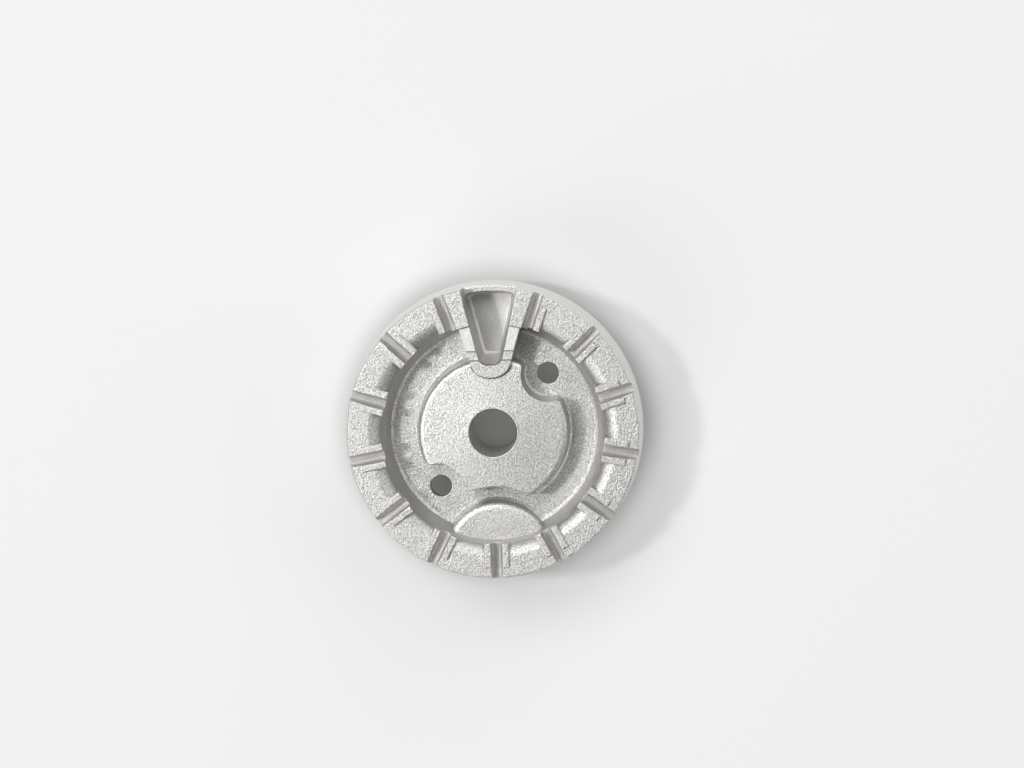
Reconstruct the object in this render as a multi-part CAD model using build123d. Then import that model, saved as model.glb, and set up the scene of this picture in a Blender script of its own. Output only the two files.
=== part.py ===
import os
from math import radians, tan

from build123d import *

# Burner head of a range surface burner: one aluminium die casting.
# Millimetres, +Z up. The bore axis is Z, the foot of the tube stands at z = 0
# and the ignition pocket points to +Y.

# Heights: the cap plane is the top of the pads, depths are measured down from it
HEIGHT = 17.0
PAD_RISE = 0.4
SKIRT_DEPTH = 9.9
GALLERY_DEPTH = 6.6
PLATEAU_DEPTH = 1.2
SLOT_DEPTH = 2.1
BOSS_DEPTH = 3.8
LIP_DEPTH = 4.3
POCKET_DEPTH = 8.4

# Dish and rim, from the lower edge of the skirt inward
SKIRT_R = 27.0
SKIRT_TAPER = 0.65
RIM_W = 6.15
RIM_FLAT_W = 3.85
CROWN_DROP = 2.0
GALLERY_TAPER = 1.5
GALLERY_W = 4.95
GALLERY_FOOT = 0.4
EDGE_BREAK = 0.3
WALL = 2.3
FLOOR = 2.5

# Flame slots, the ribs beside them and the pads beside the pocket
SLOTS = 13
SLOT_PITCH = 360 / 13.5
SLOT_TOP_W = 2.15
SLOT_FLOOR_W = 1.5
SLOT_CORNER = 0.25
RIB_W = 1.2
RIB_EDGE = 0.2
RIB_REACH = 0.2
PAD_REACH = 0.5
PAD_SETBACK = 2.05

# Central plateau, which falls outward from the bore
PLATEAU_FALL = 3.0
PLATEAU_EDGE_R = 0.9
PLATEAU_EDGE_RUN = 0.72
PLATEAU_CORNER_R = 1.4
PLATEAU_FOOT = 0.35
HOLE_SCALLOP_R = 4.3
BOSS_GAP = 2.6
DRAFT = 5.0

# Central tube, and the two holes through the gallery floor
BORE_R = 4.4
BORE_EDGE_R = 0.5
BORE_FOOT_BREAK = 0.5
TUBE_WALL = 2.2
TUBE_TAPER = 0.5
HOLE_R = 2.0
HOLE_TO_RIM = 4.5
HOLE_AT = 45

# Lens-shaped boss against the rim, opposite the pocket
BOSS_R = 9.85
BOSS_BEHIND_RIM = 2.4
BOSS_EDGE_R = 1.3
BOSS_FOOT = 0.45

# Ignition pocket: its floor, its mouth at the cap plane and the lip in front
POCKET_IN_HALF = 1.5
POCKET_SPREAD = 0.248
POCKET_CORNER_R = 0.9
POCKET_FOOT = 0.4
MOUTH_IN_HALF = 1.95
MOUTH_SPREAD = 0.228
MOUTH_IN_CORNER_R = 1.8
POCKET_END_RUN = 1.7
POCKET_FRONT_RUN = 0.8
LIP_WALL = 2.0
LIP_DRAFT = 4.5

# Block round the pocket: its nose on the plateau, then the steps of its top
NOSE_REACH = 3.7
NOSE_HALF = 2.79
NOSE_CORNER_R = 3.4
NOSE_FOOT = 0.35
NOSE_FOOT_SLOPE = 40.0
NOSE_TO_MOUTH = 1.95
NOSE_L = 3.05
SADDLE_L = 1.7
BLOCK_SPREAD = 0.302
BLOCK_DRAFT = 3.0
BLOCK_SINK = 1.1
WALL_TOP_TO_RIM = 0.9
WALL_STEP = 0.35
WALL_FALL = 0.1
SADDLE_STEP = 0.25
NOSE_STEP = 0.1

# Levels that follow from the depths
Z_PAD = HEIGHT
Z_FLAT = HEIGHT - PAD_RISE
Z_SKIRT = HEIGHT - SKIRT_DEPTH
Z_GALLERY = HEIGHT - GALLERY_DEPTH
Z_PLATEAU = HEIGHT - PLATEAU_DEPTH
Z_SLOT = HEIGHT - SLOT_DEPTH
Z_BOSS = HEIGHT - BOSS_DEPTH
Z_POCKET = HEIGHT - POCKET_DEPTH
Z_UNDER = Z_GALLERY - FLOOR
Z_CROWN = Z_FLAT - CROWN_DROP
Z_GROOVE = Z_SLOT - WALL
Z_PAD_FOOT = Z_GROOVE + WALL / 4
Z_WALL = Z_PAD - WALL_STEP
Z_WALL_LOW = Z_WALL - WALL_FALL
Z_SADDLE = Z_WALL_LOW - SADDLE_STEP
Z_NOSE = Z_SADDLE - NOSE_STEP

# Radii and places that follow from the skirt
RIM_R = SKIRT_R - SKIRT_TAPER
RIM_FLAT_IN_R = RIM_R - RIM_FLAT_W
RIM_IN_R = RIM_R - RIM_W
GALLERY_R = RIM_IN_R - GALLERY_TAPER
PLATEAU_R = GALLERY_R - GALLERY_W
PAD_OUT_R = RIM_R - PAD_SETBACK
PAD_IN_R = RIM_IN_R - PAD_REACH
RIB_IN_R = RIM_IN_R - RIB_REACH
TUBE_R = BORE_R + TUBE_WALL
HOLE_C = GALLERY_R - HOLE_TO_RIM
BOSS_Y = -(RIM_IN_R + BOSS_BEHIND_RIM)
POCKET_OUT_R = SKIRT_R - LIP_WALL
MOUTH_OUT_R = POCKET_OUT_R + POCKET_FRONT_RUN
NOSE_Y = PLATEAU_R - NOSE_REACH
MOUTH_IN_Y = NOSE_Y + NOSE_TO_MOUTH
POCKET_IN_Y = MOUTH_IN_Y + POCKET_END_RUN
NOSE_TOP_Y = NOSE_Y + NOSE_L
SADDLE_Y = NOSE_TOP_Y + SADDLE_L
WALL_TOP_Y = RIM_IN_R - WALL_TOP_TO_RIM
OVER = 2.0

# Plateau: its lean, its lowest level and the end of its sloped top
LEAN = tan(radians(DRAFT))
FALL = tan(radians(PLATEAU_FALL))
RISE = Z_PLATEAU - Z_GALLERY
PLATEAU_TOP_R = PLATEAU_R - RISE * LEAN - PLATEAU_EDGE_RUN
Z_PLATEAU_LOW = Z_PLATEAU - (PLATEAU_TOP_R - BORE_R) * FALL
Z_PLATEAU_NOSE = Z_PLATEAU - (NOSE_Y - BORE_R) * FALL
Z_CORE = Z_PLATEAU_LOW - WALL


def polygon(points):
    """Flat face through the points, closed."""
    return make_face(Polyline(*points, close=True))


def corner(face, spot):
    """The corner of a flat face that lies nearest to the spot."""
    return min(face.vertices(), key=lambda v: (Vector(v) - Vector(*spot)).length)


def rounded(face, spots, radius):
    """Round the corners of a flat face at the spots."""
    for spot in spots:
        face = fillet(corner(face, spot), radius)
    return face


def broken(face, spots, length):
    """Break the corners of a flat face at the spots."""
    for spot in spots:
        face = chamfer(corner(face, spot), length)
    return face


def at_angle(shape, angle):
    """Turn a shape about the bore axis."""
    return Rot(0, 0, angle) * shape


def lift(face, z):
    """Put a face drawn in plan at a level."""
    return Pos(0, 0, z) * face


def turned(profile):
    """Revolve a half section, drawn in X and Z, about the bore axis."""
    return revolve(Plane.XZ * profile, Axis.Z)


def half_width(y, y_in, half_in, spread):
    """Half width of a wedge that is half_in wide at y_in."""
    return half_in + (y - y_in) * spread


def wedge(y_in, half_in, spread, y_out):
    """Plan wedge, equal to both sides of the Y axis."""
    half_out = half_width(y_out, y_in, half_in, spread)
    return polygon([(-half_in, y_in), (half_in, y_in), (half_out, y_out), (-half_out, y_out)])


def soft_wedge(y_in, half_in, spread, radius, r_in, r_out):
    """Plan wedge that ends on an arc about the bore axis, with rounded corners."""
    half_out = half_width(radius, y_in, half_in, spread)
    face = (wedge(y_in, half_in, spread, radius + OVER) & Circle(radius)).face()
    face = rounded(face, [(-half_in, y_in), (half_in, y_in)], r_in)
    return rounded(face, [(-half_out, radius), (half_out, radius)], r_out)


def ring_profile():
    """Half section of the dish, its floor and the tube."""
    start = (RIM_FLAT_IN_R, Z_FLAT)
    crown_end = (RIM_IN_R, Z_CROWN)
    edges = Polyline(
        crown_end,
        (GALLERY_R, Z_GALLERY),
        (BORE_R, Z_GALLERY),
        (BORE_R, 0),
        (TUBE_R, 0),
        (TUBE_R + TUBE_TAPER, Z_UNDER),
        (GALLERY_R + WALL, Z_UNDER),
        (RIM_IN_R + WALL, Z_GROOVE),
        (RIM_R - WALL, Z_GROOVE),
        (SKIRT_R - WALL, Z_SKIRT),
        (SKIRT_R, Z_SKIRT),
        (RIM_R, Z_FLAT),
        start,
    )
    crown = TangentArc(start, crown_end, tangent=(-1, 0))
    face = make_face(Curve() + [edges, crown])
    face = broken(face, [(RIM_R, Z_FLAT), (SKIRT_R, Z_SKIRT)], EDGE_BREAK)
    return broken(face, [(GALLERY_R, Z_GALLERY)], GALLERY_FOOT)


def scallops(inset):
    """Plan centre and radius of each round bite out of the plateau, grown by the inset."""
    hole = Vector(HOLE_C, 0).rotate(Axis.Z, HOLE_AT)
    hole_bite = HOLE_SCALLOP_R + inset
    boss_bite = BOSS_R + BOSS_GAP + inset
    return [(hole, hole_bite), (-hole, hole_bite), (Vector(0, BOSS_Y), boss_bite)]


def plateau_plan():
    """Plan of the plateau with its bites, its outer corners rounded by an offset in and out."""
    face = Circle(PLATEAU_R)
    for centre, radius in scallops(0):
        face = face - Pos(centre) * Circle(radius)
    return offset(offset(face.face(), -PLATEAU_CORNER_R), PLATEAU_CORNER_R)


def plateau_top():
    """Half section that holds the sloped top of the plateau and the rounding of its edge."""
    edge = (PLATEAU_TOP_R, Z_PLATEAU_LOW)
    end = (PLATEAU_TOP_R + PLATEAU_EDGE_R, Z_PLATEAU_LOW - PLATEAU_EDGE_R)
    lines = Polyline(
        end,
        (PLATEAU_R + OVER, end[1]),
        (PLATEAU_R + OVER, Z_GALLERY),
        (0, Z_GALLERY),
        (0, Z_PLATEAU + BORE_R * FALL),
        edge,
    )
    return make_face(Curve() + [lines, TangentArc(edge, end, tangent=(1, 0))])


def boss_profile():
    """Half section of the boss about its own axis, with its foot."""
    top = BOSS_R - (Z_BOSS - Z_GALLERY) * LEAN
    face = polygon([
        (0, Z_GALLERY),
        (BOSS_R + BOSS_FOOT, Z_GALLERY),
        (BOSS_R, Z_GALLERY + BOSS_FOOT),
        (top, Z_BOSS),
        (0, Z_BOSS),
    ])
    return rounded(face, [(top, Z_BOSS)], BOSS_EDGE_R)


# Dish with its floor and the tube
body = turned(ring_profile())

# Plateau on the gallery floor, bitten out round the holes and the boss
plan = lift(plateau_plan(), Z_GALLERY)
plateau = extrude(plan, RISE, taper=DRAFT)
foot = extrude(offset(plan, PLATEAU_FOOT), PLATEAU_FOOT, taper=45)
body = body + (plateau & turned(plateau_top())) + foot

# Boss, turned about its own axis and kept inside the wall of the rim
boss = Pos(0, BOSS_Y, 0) * turned(boss_profile())
body = body + (boss & extrude(Circle(RIM_IN_R + WALL / 2), HEIGHT))

# Core under the plateau
core = Circle(PLATEAU_R - WALL) - Circle(TUBE_R)
for centre, radius in scallops(WALL):
    core = core - Pos(centre) * Circle(radius)
body = body - extrude(lift(core, Z_UNDER - OVER), Z_CORE - Z_UNDER + OVER)

# Housing of the pocket, down to the lower edge of the skirt
y_out = SKIRT_R + OVER
house = wedge(MOUTH_IN_Y, MOUTH_IN_HALF + WALL / 2, MOUTH_SPREAD, y_out)
house = extrude(lift(house, Z_SKIRT), Z_FLAT - Z_SKIRT)
envelope = polygon([(0, Z_SKIRT), (SKIRT_R, Z_SKIRT), (RIM_R, Z_FLAT), (0, Z_FLAT)])
envelope = turned(broken(envelope, [(RIM_R, Z_FLAT), (SKIRT_R, Z_SKIRT)], EDGE_BREAK))
beyond = extrude(Circle(y_out) - Circle(RIM_IN_R), HEIGHT)
low = extrude(Circle(y_out), Z_GALLERY)
body = body + (house & envelope & (beyond + low))

# Block round the pocket: its plan, cut to the steps of its top, and its foot on the plateau
block_plan = wedge(NOSE_Y, NOSE_HALF, BLOCK_SPREAD, y_out)
block_plan = rounded(block_plan, [(-NOSE_HALF, NOSE_Y), (NOSE_HALF, NOSE_Y)], NOSE_CORNER_R)
block = extrude(lift(block_plan, Z_PAD), -(Z_PAD - Z_UNDER), taper=-BLOCK_DRAFT)
z_sunk = Z_PLATEAU_LOW - PLATEAU_FOOT
z_deep = Z_GALLERY - FLOOR / 2
side = polygon([
    (NOSE_Y - OVER, z_sunk),
    (NOSE_Y - OVER, Z_NOSE),
    (NOSE_TOP_Y, Z_NOSE),
    (NOSE_TOP_Y, Z_SADDLE),
    (SADDLE_Y, Z_SADDLE),
    (SADDLE_Y, Z_WALL_LOW),
    (WALL_TOP_Y, Z_WALL),
    (RIM_IN_R + OVER / 2, Z_WALL),
    (RIM_IN_R + OVER / 2, z_deep),
    (PLATEAU_R - BLOCK_SINK, z_deep),
    (PLATEAU_R - BLOCK_SINK, z_sunk),
])
side = extrude(Plane.YZ * side, SKIRT_R, both=True)
z_foot = Z_PLATEAU_NOSE + NOSE_FOOT
nose_foot = extrude(lift(block_plan, z_foot), Z_PLATEAU_LOW - z_foot, taper=-NOSE_FOOT_SLOPE)
flat = extrude(Circle(PLATEAU_TOP_R), HEIGHT)
body = body + (block & side) + (nose_foot & flat)

# Pads beside the pocket, and a rib on each side of every slot
first = 270 - (SLOTS - 1) / 2 * SLOT_PITCH
angles = [first + i * SLOT_PITCH for i in range(SLOTS)]
reach = Vector(SKIRT_R * 2, 0)
fan = polygon([(0, 0), reach.rotate(Axis.Z, angles[-1] - 360), reach.rotate(Axis.Z, angles[0])])
pad = (Circle(PAD_OUT_R) - Circle(PAD_IN_R)) & fan
body = body + extrude(lift(pad, Z_PAD_FOOT), Z_PAD - Z_PAD_FOOT)
half_rib = SLOT_TOP_W / 2 + RIB_W
rib = polygon([(-half_rib, Z_PAD_FOOT), (half_rib, Z_PAD_FOOT), (half_rib, Z_PAD), (-half_rib, Z_PAD)])
rib = broken(rib, [(-half_rib, Z_PAD), (half_rib, Z_PAD)], RIB_EDGE)
rib = Pos(RIB_IN_R, 0, 0) * extrude(Plane.YZ * rib, PAD_OUT_R - RIB_IN_R)
body = body + [at_angle(rib, angle) for angle in angles]

# Flame slots, with sloped sides and broken floor corners
slope = (SLOT_TOP_W - SLOT_FLOOR_W) / 2 / SLOT_DEPTH
half_over = SLOT_TOP_W / 2 + slope * OVER
half_floor = SLOT_FLOOR_W / 2
slot = polygon([
    (-half_floor, Z_SLOT),
    (half_floor, Z_SLOT),
    (half_over, Z_PAD + OVER),
    (-half_over, Z_PAD + OVER),
])
slot = broken(slot, [(-half_floor, Z_SLOT), (half_floor, Z_SLOT)], SLOT_CORNER)
slot = Pos(GALLERY_R, 0, 0) * extrude(Plane.YZ * slot, y_out - GALLERY_R)
body = body - [at_angle(slot, angle) for angle in angles]

# Pocket with its sloped walls, open to the outside above the lip
bed = soft_wedge(POCKET_IN_Y, POCKET_IN_HALF, POCKET_SPREAD, POCKET_OUT_R, POCKET_CORNER_R, POCKET_CORNER_R)
mouth = soft_wedge(MOUTH_IN_Y, MOUTH_IN_HALF, MOUTH_SPREAD, MOUTH_OUT_R, MOUTH_IN_CORNER_R, POCKET_CORNER_R)
pocket = loft([lift(bed, Z_POCKET), lift(mouth, Z_PAD)])
pocket = chamfer(pocket.faces().sort_by(Axis.Z)[0].edges(), POCKET_FOOT)
y_gap = MOUTH_OUT_R - OVER
gap = wedge(y_gap, half_width(y_gap, MOUTH_IN_Y, MOUTH_IN_HALF, MOUTH_SPREAD), MOUTH_SPREAD, y_out)
gap = extrude(lift(gap, Z_PAD), -LIP_DEPTH, taper=LIP_DRAFT)
body = body - pocket - gap

# Two holes through the gallery floor
hole = Pos(HOLE_C, 0, 0) * extrude(Circle(HOLE_R), HEIGHT)
body = body - [at_angle(hole, angle) for angle in (HOLE_AT, HOLE_AT + 180)]

# Bore through the plateau and the tube, eased at both ends
body = body - extrude(Circle(BORE_R), HEIGHT)
rims = body.edges().filter_by(GeomType.CIRCLE)
rims = [e for e in rims if abs(e.radius - BORE_R) < 0.01]
top = max(rims, key=lambda e: e.center().Z)
foot = min(rims, key=lambda e: e.center().Z)
body = fillet(top, BORE_EDGE_R)
body = chamfer(foot, BORE_FOOT_BREAK)

os.makedirs("parts", exist_ok=True)
export_step(body, "parts/burner_head.step")
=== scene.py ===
"""Burner head of a range surface burner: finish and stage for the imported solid."""
import math

import bpy
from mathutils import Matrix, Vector


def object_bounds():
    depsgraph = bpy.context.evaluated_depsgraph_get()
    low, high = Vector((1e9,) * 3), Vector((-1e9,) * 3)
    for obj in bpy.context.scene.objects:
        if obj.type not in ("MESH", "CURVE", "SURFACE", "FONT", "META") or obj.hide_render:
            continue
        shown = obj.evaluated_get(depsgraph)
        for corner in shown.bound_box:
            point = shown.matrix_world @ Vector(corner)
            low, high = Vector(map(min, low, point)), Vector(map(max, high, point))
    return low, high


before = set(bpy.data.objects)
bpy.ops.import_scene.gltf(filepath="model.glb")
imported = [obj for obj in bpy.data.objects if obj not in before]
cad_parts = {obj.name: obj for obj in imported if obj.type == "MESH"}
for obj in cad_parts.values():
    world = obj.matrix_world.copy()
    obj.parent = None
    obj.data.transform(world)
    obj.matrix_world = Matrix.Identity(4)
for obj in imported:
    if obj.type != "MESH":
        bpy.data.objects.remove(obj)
cad_low, cad_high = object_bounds()

bl_info = {
    "name": "Burner Head",
    "version": (1, 0, 0),
    "blender": (4, 5, 0),
    "location": "View3D > Sidebar > Burner Head",
    "description": "Finishes the cast burner head and sets up its stage",
    "category": "Object",
}

NODE = "burner_head"
MM = 0.001
BLACK = (0, 0, 0, 1)
WHITE = (1, 1, 1, 1)

# Ranges over which a finish comes in or fades, by radius or along an axis of the part
SKIRT_R = (26.1 * MM, 26.4 * MM)
CROWN_R = (19.9 * MM, 20.2 * MM)
BORE_R = (5.2 * MM, 5.5 * MM)
SLOT_PITCH = math.radians(360 / 13.5)
SLOT_R = (19.6 * MM, 19.9 * MM)
SLOT_HALF = (0.85 * MM, 1.1 * MM)
SLOT_Z = (14.5 * MM, 14.8 * MM)
POCKET_X = (4.4 * MM, 5.4 * MM)
POCKET_Y = (12.0 * MM, 13.0 * MM)
POCKET_Z = (10.0 * MM, 11.5 * MM)
STRIP_X = (6.4 * MM, 6.6 * MM)
STRIP_Y = (14.6 * MM, 14.7 * MM)
STRIP_END_Y = (19.2 * MM, 19.3 * MM)
STRIP_Z = (16.1 * MM, 16.2 * MM)
BLOCK_X = (5.8 * MM, 5.9 * MM)
BLOCK_Y = (12.4 * MM, 12.6 * MM)
BLOCK_Z = (15.85 * MM, 15.95 * MM)
NOSE_X = (4.0 * MM, 4.4 * MM)
NOSE_Y = (8.8 * MM, 9.2 * MM)
NOSE_END_Y = (12.6 * MM, 13.2 * MM)
NOSE_Z = (15.1 * MM, 15.2 * MM)

# Steps on top of the block round the pocket, and half the width of the painted shade lines in them
NOSE_STEP_Y = 13.1 * MM
SADDLE_STEP_Y = 14.8 * MM
PAD_STEP_R = 19.66 * MM
SEAM_HALF = (0.07 * MM, 0.19 * MM)

# Ranges of how level a face lies, from 0 for a wall to 1 for a flat
SMOOTH_LEVEL = (0.2, 0.6)
STEEP_LEVEL = (0.35, 0.80)
CROWN_LEVEL = (0.94, 0.998)
STRIP_LEVEL = (0.8, 0.95)
NOSE_LEVEL = (0.80, 0.97)

# Blasted grain: sizes against the grain's own, and how its patterns mix
CRATER_SCALE = 1.5
CLOUD_SCALE = 0.06
COARSE_SHARE = 0.6
GRAIN_TONE = (0.32, 0.58)
GRAIN_SHARE = 0.78
SMOOTH_TONE = 0.52
TONE_LOSS = 0.8
RELIEF_LOSS = 0.75

# Milled streaks along the slots
STREAK_SCALE = 1.4
STREAK_STRETCH = 0.12
STREAK_HEIGHT = 0.8

# How smooth each area is
POCKET_SMOOTH = 0.75
WALL_SMOOTH = 0.7
STRIP_SMOOTH = 0.3

# How much each area takes of its colour: the slots of their own, the walls and crown of a painted
# shade, the pocket's floor and the strips of a painted highlight, the edges of a painted highlight
# that is partly rubbed wear
WALL_SHADE_SHARE = 0.75
CROWN_SHADE_SHARE = 0.2
SLOT_SHARE = 0.75
POCKET_LIGHT_SHARE = 0.5
EDGE_HIGHLIGHT_SHARE = 0.7
STRIP_HIGHLIGHT_SHARE = 0.55

# Edges brightened as a painted highlight that is partly rubbed wear, and painted shade in the
# corners
EDGE_TURN = (0.02, 0.22)
SAMPLES = 8
CORNER = 0.6 * MM
SHADE_SKY = (0.40, 0.78)
SHADE_LEAST = 0.45
SHADE_CLOUD = 0.4
BLOCK_SHADE = 0.7

# What is added to the roughness
TONE_MIDDLE = 0.6
ROUGH_GRAIN = 0.10
ROUGH_SLOT = 0.05
ROUGH_WORN = 0.08
ROUGH_STRIP = 0.08
ROUGH_CROWN = 0.08

# Floor: where its glow starts outside the part, and what is left of it underneath; the glow fading
# towards and under the part is a painted shadow
PAINTED_SHADOW_R = (24.0 * MM, 32.0 * MM)
GLOW_UNDER = 0.13
FLOOR_ROUGHNESS = 0.7
FLOOR_SPECULAR = 0.2

# Lamps: name, side in metres, azimuth and elevation in degrees
LAMP_FAR = 2.0
LAMPS = (
    ("key", 0.2, 168, 55),
    ("back", 0.9, 126, 51),
    ("front", 0.6, 238, 42),
    ("low_front", 0.9, 228, 28),
    ("low_back", 1.5, 65, 32),
    ("low_right", 0.9, 5, 28),
)
SENSOR_WIDTH = 36


class Tone:
    """A socket of a node tree, so that shader maths reads as Python."""

    def __init__(self, tree, socket):
        self.tree = tree
        self.socket = socket

    def node(self, kind, settings=None, inputs=None, out=0):
        """Add a node: settings first, then values or links for its sockets."""
        made = self.tree.nodes.new(kind)
        for name, value in (settings or {}).items():
            setattr(made, name, value)
        for name, value in (inputs or {}).items():
            if isinstance(value, Tone):
                self.tree.links.new(value.socket, made.inputs[name])
            else:
                made.inputs[name].default_value = value
        return Tone(self.tree, made.outputs[out])

    def maths(self, operation, *values):
        """A Math node on this socket and the values."""
        inputs = dict(enumerate((self, *values)))
        return self.node("ShaderNodeMath", {"operation": operation}, inputs)

    def __add__(self, other):
        return self.maths("ADD", other)

    def __radd__(self, other):
        return self.maths("ADD", other)

    def __sub__(self, other):
        return self.maths("SUBTRACT", other)

    def __rsub__(self, other):
        return self.maths("MULTIPLY", -1.0).maths("ADD", other)

    def __mul__(self, other):
        return self.maths("MULTIPLY", other)

    def __rmul__(self, other):
        return self.maths("MULTIPLY", other)

    def __truediv__(self, other):
        return self.maths("DIVIDE", other)

    def __abs__(self):
        return self.maths("ABSOLUTE")

    def most(self, *others):
        """The largest of this socket and the others."""
        largest = self
        for other in others:
            largest = largest.maths("MAXIMUM", other)
        return largest

    def parts(self):
        """The three numbers of a vector."""
        split = self.node("ShaderNodeSeparateXYZ", None, {0: self})
        return [Tone(self.tree, socket) for socket in split.socket.node.outputs]

    def ramp_up(self, low, high):
        """0 below low, 1 above high, smooth between."""
        settings = {"interpolation_type": "SMOOTHSTEP"}
        inputs = {"Value": self, "From Min": low, "From Max": high}
        return self.node("ShaderNodeMapRange", settings, inputs)

    def ramp_down(self, low, high):
        """1 below low, 0 above high, smooth between."""
        return 1 - self.ramp_up(low, high)

    def mix(self, low, high):
        """Colour that goes from low to high as this socket goes from 0 to 1."""
        inputs = {0: self, 6: low, 7: high}
        return self.node("ShaderNodeMix", {"data_type": "RGBA"}, inputs, out=2)


class BurnerFinish(bpy.types.PropertyGroup):
    """Finish of the casting."""

    metal: bpy.props.FloatVectorProperty(
        name="Metal",
        description="Colour of the blasted aluminium",
        subtype="COLOR",
        size=4,
        default=(1.0, 0.992, 0.972, 1.0),
    )
    metal_dark: bpy.props.FloatVectorProperty(
        name="Dark metal",
        description="Colour of the pits between the grains",
        subtype="COLOR",
        size=4,
        default=(0.44, 0.432, 0.417, 1.0),
    )
    grain: bpy.props.FloatProperty(
        name="Grain",
        description="Size of one blasted grain",
        subtype="DISTANCE",
        default=0.30 * MM,
    )
    relief: bpy.props.FloatProperty(
        name="Relief",
        description="Height of the grain",
        subtype="DISTANCE",
        default=0.12 * MM,
    )
    slot: bpy.props.FloatVectorProperty(
        name="Slot",
        description="Colour of the milled slots",
        subtype="COLOR",
        size=4,
        default=(0.65, 0.637, 0.61, 1.0),
    )
    # Painted shade: the darker colour of the steep walls and the crown, standing in for the shade
    # and dark reflections they catch
    wall_shade: bpy.props.FloatVectorProperty(
        name="Wall",
        description="Colour of the steep walls that the die left smooth",
        subtype="COLOR",
        size=4,
        default=(0.44, 0.432, 0.417, 1.0),
    )
    # Painted shade: the dark colour laid into corners, the block's steps and the foot of its nose
    painted_corner_shade: bpy.props.FloatVectorProperty(
        name="Soot",
        description="Colour of the dirt in the corners",
        subtype="COLOR",
        size=4,
        default=(0.20, 0.19, 0.175, 1.0),
    )
    # Painted highlight: the pale colour of the edges (partly rubbed wear), the block's strips and
    # the pocket's floor
    bright: bpy.props.FloatVectorProperty(
        name="Bright",
        description="Colour of the rubbed edges, the block's strips and the pocket's floor",
        subtype="COLOR",
        size=4,
        default=(1.0, 0.995, 0.98, 1.0),
    )
    roughness: bpy.props.FloatProperty(
        name="Roughness",
        description="Roughness of the blasted metal",
        subtype="FACTOR",
        default=0.49,
    )
    edge: bpy.props.FloatProperty(
        name="Edge",
        description="Radius of the eased edges",
        subtype="DISTANCE",
        default=0.15 * MM,
    )


class BurnerStage(bpy.types.PropertyGroup):
    """Camera, floor and lamps."""

    camera_place: bpy.props.FloatVectorProperty(
        name="Camera place",
        description="Where the camera stands",
        subtype="TRANSLATION",
        size=3,
        default=(32.49 * MM, 62.67 * MM, 550.4 * MM),
    )
    camera_turn: bpy.props.FloatVectorProperty(
        name="Camera turn",
        description="How the camera is turned from looking straight down",
        subtype="EULER",
        size=3,
        default=(math.radians(-5.85), math.radians(2.89), math.radians(-1.87)),
    )
    lens: bpy.props.FloatProperty(
        name="Lens",
        description="Focal length of the camera in millimetres",
        default=105.5,
    )
    floor: bpy.props.FloatVectorProperty(
        name="Floor",
        description="Colour of the floor",
        subtype="COLOR",
        size=4,
        default=(0.505, 0.505, 0.502, 1.0),
    )
    floor_glow: bpy.props.FloatVectorProperty(
        name="Floor glow",
        description="White that the floor shows of itself, so that its shadow stays light",
        subtype="COLOR",
        size=4,
        default=(0.35, 0.35, 0.348, 1.0),
    )
    floor_size: bpy.props.FloatProperty(
        name="Floor size",
        description="Side of the square floor",
        subtype="DISTANCE",
        default=6.0,
    )
    key_power: bpy.props.FloatProperty(
        name="Key",
        description="Power of the small lamp at the left in watts",
        default=13.4,
    )
    back_power: bpy.props.FloatProperty(
        name="Back",
        description="Power of the soft lamp at the back left in watts",
        default=15.0,
    )
    front_power: bpy.props.FloatProperty(
        name="Front",
        description="Power of the soft lamp at the front left in watts",
        default=4.1,
    )
    low_front_power: bpy.props.FloatProperty(
        name="Low front",
        description="Power of the broad low lamp at the front left in watts",
        default=7.8,
    )
    low_back_power: bpy.props.FloatProperty(
        name="Low back",
        description="Power of the broad low lamp at the back right in watts",
        default=14.0,
    )
    low_right_power: bpy.props.FloatProperty(
        name="Low right",
        description="Power of the broad low lamp at the right in watts",
        default=5.5,
    )
    sky: bpy.props.FloatProperty(
        name="Sky",
        description="Strength of the even light from all round",
        default=0.12,
    )


def start_material(name):
    """A new material; returns it, its shader and a Tone of the object's coordinates."""
    material = bpy.data.materials.new(name)
    material.use_nodes = True
    tree = material.node_tree
    shader = tree.nodes["Principled BSDF"]
    place = tree.nodes.new("ShaderNodeTexCoord")
    return material, shader, Tone(tree, place.outputs["Object"])


def link(tone, shader, name):
    """Feed a shader's socket."""
    tone.tree.links.new(tone.socket, shader.inputs[name])


def slot_cross(x, y, radius):
    """Distance across the nearest flame slot, from its middle line."""
    turn = x.maths("ARCTAN2", -1.0 * y) / SLOT_PITCH
    off = (turn - turn.maths("ROUND")) * SLOT_PITCH
    return radius * off.maths("SINE")


def slot_mask(across, radius, z):
    """1 in the flame slots."""
    return abs(across).ramp_down(*SLOT_HALF) * radius.ramp_up(*SLOT_R) * z.ramp_up(*SLOT_Z)


def pocket_mask(x, y, z, skirt):
    """1 on the floor of the ignition pocket and low on its walls."""
    inside = z.ramp_down(*POCKET_Z) * y.ramp_up(*POCKET_Y)
    return inside * abs(x).ramp_down(*POCKET_X) * (1 - skirt)


def strip_mask(x, y, z, level):
    """1 on the two strips on top of the block, beside the pocket, which get a painted highlight.
    """
    along = y.ramp_up(*STRIP_Y) * y.ramp_down(*STRIP_END_Y)
    return along * z.ramp_up(*STRIP_Z) * level.ramp_up(*STRIP_LEVEL) * abs(x).ramp_down(*STRIP_X)


def seam(along, place):
    """A thin line across a direction."""
    return abs(along - place).ramp_down(*SEAM_HALF)


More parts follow.
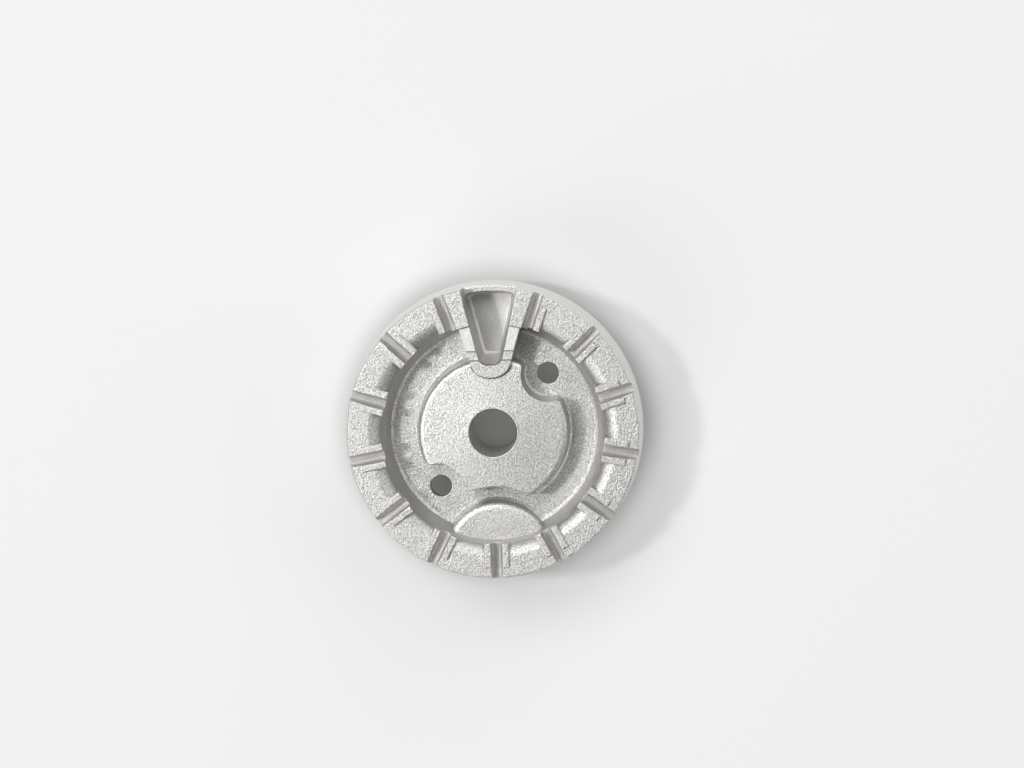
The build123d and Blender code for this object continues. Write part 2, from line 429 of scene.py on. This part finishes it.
def block_painted_shade(x, y, z, radius, level):
    """Painted shade in the steps of the block's top and along the foot of its nose."""
    lines = seam(y, NOSE_STEP_Y).most(seam(y, SADDLE_STEP_Y), seam(radius, PAD_STEP_R))
    lines = lines * y.ramp_up(*BLOCK_Y) * abs(x).ramp_down(*BLOCK_X) * z.ramp_up(*BLOCK_Z)
    foot = y.ramp_up(*NOSE_Y) * y.ramp_down(*NOSE_END_Y)
    foot = foot * abs(x).ramp_down(*NOSE_X) * z.ramp_up(*NOSE_Z)
    return lines.most(foot * level.ramp_down(*NOSE_LEVEL))


def noise(place, scale, detail):
    """A noise pattern with so many cells to the metre."""
    inputs = {"Vector": place, "Scale": scale, "Detail": detail}
    return place.node("ShaderNodeTexNoise", None, inputs)


def blasted_aluminium(finish):
    """Shot-blasted die-cast aluminium, milled in the slots and smoother on the skirt, with painted
    shade on its walls, crown and corners and painted highlights on its edges, strips and pocket
    floor.
    """
    material, shader, place = start_material("blasted_aluminium")
    x, y, z = place.parts()
    normal = place.node("ShaderNodeNewGeometry", out="Normal")
    level = abs(normal.parts()[2])
    radius = (x * x + y * y).maths("SQRT")
    across = slot_cross(x, y, radius)

    skirt = radius.ramp_up(*SKIRT_R)
    in_slot = slot_mask(across, radius, z)
    pocket = pocket_mask(x, y, z, skirt)
    strip = strip_mask(x, y, z, level)
    crown = radius.ramp_up(*CROWN_R) * level.ramp_down(*CROWN_LEVEL)
    steep = level.ramp_down(*STEEP_LEVEL) * radius.ramp_up(*BORE_R)
    walls = level.ramp_down(*SMOOTH_LEVEL)
    smooth = skirt.most(pocket * POCKET_SMOOTH, walls * WALL_SMOOTH, strip * STRIP_SMOOTH)

    size = 1.0 / finish.grain
    inputs = {"Vector": place, "Scale": size * CRATER_SCALE}
    craters = place.node("ShaderNodeTexVoronoi", {"feature": "SMOOTH_F1"}, inputs)
    grain = noise(place, size, 2.0) * COARSE_SHARE + craters * (1 - COARSE_SHARE)
    cloud = noise(place, size * CLOUD_SCALE, 3.0)
    inputs = {"X": radius * STREAK_STRETCH, "Y": across, "Z": z}
    streaks = noise(place.node("ShaderNodeCombineXYZ", None, inputs), size * STREAK_SCALE, 2.0)
    height = grain * (1 - smooth * RELIEF_LOSS) * (1 - in_slot) + streaks * in_slot * STREAK_HEIGHT

    eased = place.node("ShaderNodeBevel", {"samples": SAMPLES}, {"Radius": finish.edge})
    settings = {"operation": "DOT_PRODUCT"}
    facing = place.node("ShaderNodeVectorMath", settings, {0: eased, 1: normal}, out="Value")
    # Painted highlight that is partly rubbed wear: edges and fillets where the eased normal turns
    # away
    worn_and_highlit = (1 - facing).ramp_up(*EDGE_TURN)
    # Painted shade in the corners from ambient occlusion, varied by the cloud, and in the block's
    # steps and nose foot
    settings = {"samples": SAMPLES, "only_local": True}
    inputs = {"Distance": CORNER}
    open_sky = place.node("ShaderNodeAmbientOcclusion", settings, inputs, out="AO")
    painted_shade = open_sky.ramp_down(*SHADE_SKY) * (SHADE_LEAST + cloud * SHADE_CLOUD)
    painted_shade = painted_shade.most(block_painted_shade(x, y, z, radius, level) * BLOCK_SHADE)

    tone = grain.ramp_up(*GRAIN_TONE) * GRAIN_SHARE + cloud * (1 - GRAIN_SHARE)
    tone = tone * (1 - smooth * TONE_LOSS) + smooth * SMOOTH_TONE
    # Painted shade: steep walls and the crown take the darker wall colour
    painted_wall_shade = (steep * WALL_SHADE_SHARE).most(crown * CROWN_SHADE_SHARE) * (1 - skirt)
    colour = tone.mix(tuple(finish.metal_dark), tuple(finish.metal))
    colour = painted_wall_shade.mix(colour, tuple(finish.wall_shade))
    colour = (in_slot * SLOT_SHARE).mix(colour, tuple(finish.slot))
    # Painted light on the pocket's level floor
    colour = (pocket * level * POCKET_LIGHT_SHARE).mix(colour, tuple(finish.bright))
    # Painted highlight on the edges, partly rubbed wear, and on the block's strips
    colour = (worn_and_highlit * EDGE_HIGHLIGHT_SHARE).most(strip * STRIP_HIGHLIGHT_SHARE).mix(colour, tuple(finish.bright))
    # Painted shade in corners and steps laid over the colour
    link(painted_shade.mix(colour, tuple(finish.painted_corner_shade)), shader, "Base Color")

    rough = finish.roughness + (TONE_MIDDLE - tone) * ROUGH_GRAIN - worn_and_highlit * ROUGH_WORN
    rough = rough + in_slot * ROUGH_SLOT + strip * ROUGH_STRIP + crown * ROUGH_CROWN
    link(rough, shader, "Roughness")
    shader.inputs["Metallic"].default_value = 1.0
    inputs = {"Height": height, "Strength": 1.0, "Distance": finish.relief, "Normal": eased}
    link(place.node("ShaderNodeBump", None, inputs), shader, "Normal")
    return material


def pale_floor(stage):
    """Matt pale floor that shows a white of its own to the camera and to reflections, faded near
    and under the part as a painted shadow.
    """
    material, shader, place = start_material("pale_floor")
    path = place.node("ShaderNodeLightPath").socket.node.outputs
    kinds = ("Camera", "Glossy", "Transmission")
    camera, glossy, through = (Tone(place.tree, path[f"Is {kind} Ray"]) for kind in kinds)
    seen = (camera + glossy + through).maths("MINIMUM", 1.0)
    x, y, _ = place.parts()
    # Painted shadow: the floor's glow fades towards the part and stays low underneath it
    clear = (x * x + y * y).maths("SQRT").ramp_up(*PAINTED_SHADOW_R)
    glow = seen * (clear * (1 - GLOW_UNDER) + GLOW_UNDER)
    link(glow.mix(BLACK, tuple(stage.floor_glow)), shader, "Emission Color")
    shader.inputs["Emission Strength"].default_value = 1.0
    shader.inputs["Base Color"].default_value = tuple(stage.floor)
    shader.inputs["Roughness"].default_value = FLOOR_ROUGHNESS
    shader.inputs["Specular IOR Level"].default_value = FLOOR_SPECULAR
    return material


def add_lamp(name, power, size, place, target):
    """A square area lamp that looks at the target."""
    data = bpy.data.lights.new(name, "AREA")
    data.energy = power
    data.size = size
    lamp = bpy.data.objects.new(name, data)
    bpy.context.scene.collection.objects.link(lamp)
    lamp.location = place
    lamp.rotation_euler = (target - place).to_track_quat("-Z", "Y").to_euler()


def on_dome(target, azimuth, elevation):
    """A point at the lamps' distance from the target, at those angles in degrees."""
    a = math.radians(azimuth)
    e = math.radians(elevation)
    way = Vector((math.cos(a) * math.cos(e), math.sin(a) * math.cos(e), math.sin(e)))
    return target + way * LAMP_FAR


class BURNER_OT_head(bpy.types.Operator):
    """Give the cast head its blasted aluminium finish"""

    bl_idname = "burner.head"
    bl_label = "Burner head"

    def execute(self, context):
        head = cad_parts[NODE]
        material = blasted_aluminium(context.scene.burner_finish)
        head.data.materials.clear()
        head.data.materials.append(material)
        return {"FINISHED"}


class BURNER_OT_stage(bpy.types.Operator):
    """Set up the floor, the lamps, the sky and the camera"""

    bl_idname = "burner.stage"
    bl_label = "Stage"

    def execute(self, context):
        scene = context.scene
        stage = scene.burner_stage
        bpy.ops.mesh.primitive_plane_add(size=stage.floor_size, location=(0, 0, cad_low.z))
        floor = context.object
        floor.name = "floor"
        floor.data.materials.append(pale_floor(stage))

        middle = (cad_low + cad_high) / 2
        for name, size, azimuth, elevation in LAMPS:
            power = getattr(stage, f"{name}_power")
            add_lamp(name, power, size, on_dome(middle, azimuth, elevation), middle)

        world = bpy.data.worlds.new("sky")
        world.use_nodes = True
        back = world.node_tree.nodes["Background"]
        back.inputs["Strength"].default_value = stage.sky
        back.inputs["Color"].default_value = WHITE
        scene.world = world

        data = bpy.data.cameras.new("camera")
        data.lens = stage.lens
        data.sensor_width = SENSOR_WIDTH
        camera = bpy.data.objects.new("camera", data)
        scene.collection.objects.link(camera)
        camera.location = stage.camera_place
        camera.rotation_euler = stage.camera_turn
        scene.camera = camera
        scene.view_settings.view_transform = "Standard"
        return {"FINISHED"}


class BURNER_PT_panel(bpy.types.Panel):
    """Sidebar panel with the finish, the stage and their operators"""

    bl_label = "Burner Head"
    bl_idname = "BURNER_PT_panel"
    bl_space_type = "VIEW_3D"
    bl_region_type = "UI"
    bl_category = "Burner Head"

    def draw(self, context):
        layout = self.layout
        for group in (context.scene.burner_finish, context.scene.burner_stage):
            box = layout.box()
            for name in group.__annotations__:
                box.prop(group, name)
        for operator in (BURNER_OT_head, BURNER_OT_stage):
            layout.operator(operator.bl_idname)


CLASSES = (BurnerFinish, BurnerStage, BURNER_OT_head, BURNER_OT_stage, BURNER_PT_panel)


def register():
    for cls in CLASSES:
        bpy.utils.register_class(cls)
    bpy.types.Scene.burner_finish = bpy.props.PointerProperty(type=BurnerFinish)
    bpy.types.Scene.burner_stage = bpy.props.PointerProperty(type=BurnerStage)


def unregister():
    del bpy.types.Scene.burner_stage
    del bpy.types.Scene.burner_finish
    for cls in reversed(CLASSES):
        bpy.utils.unregister_class(cls)


def main():
    register()
    bpy.ops.burner.head()
    bpy.ops.burner.stage()


if __name__ == "__main__":
    main()
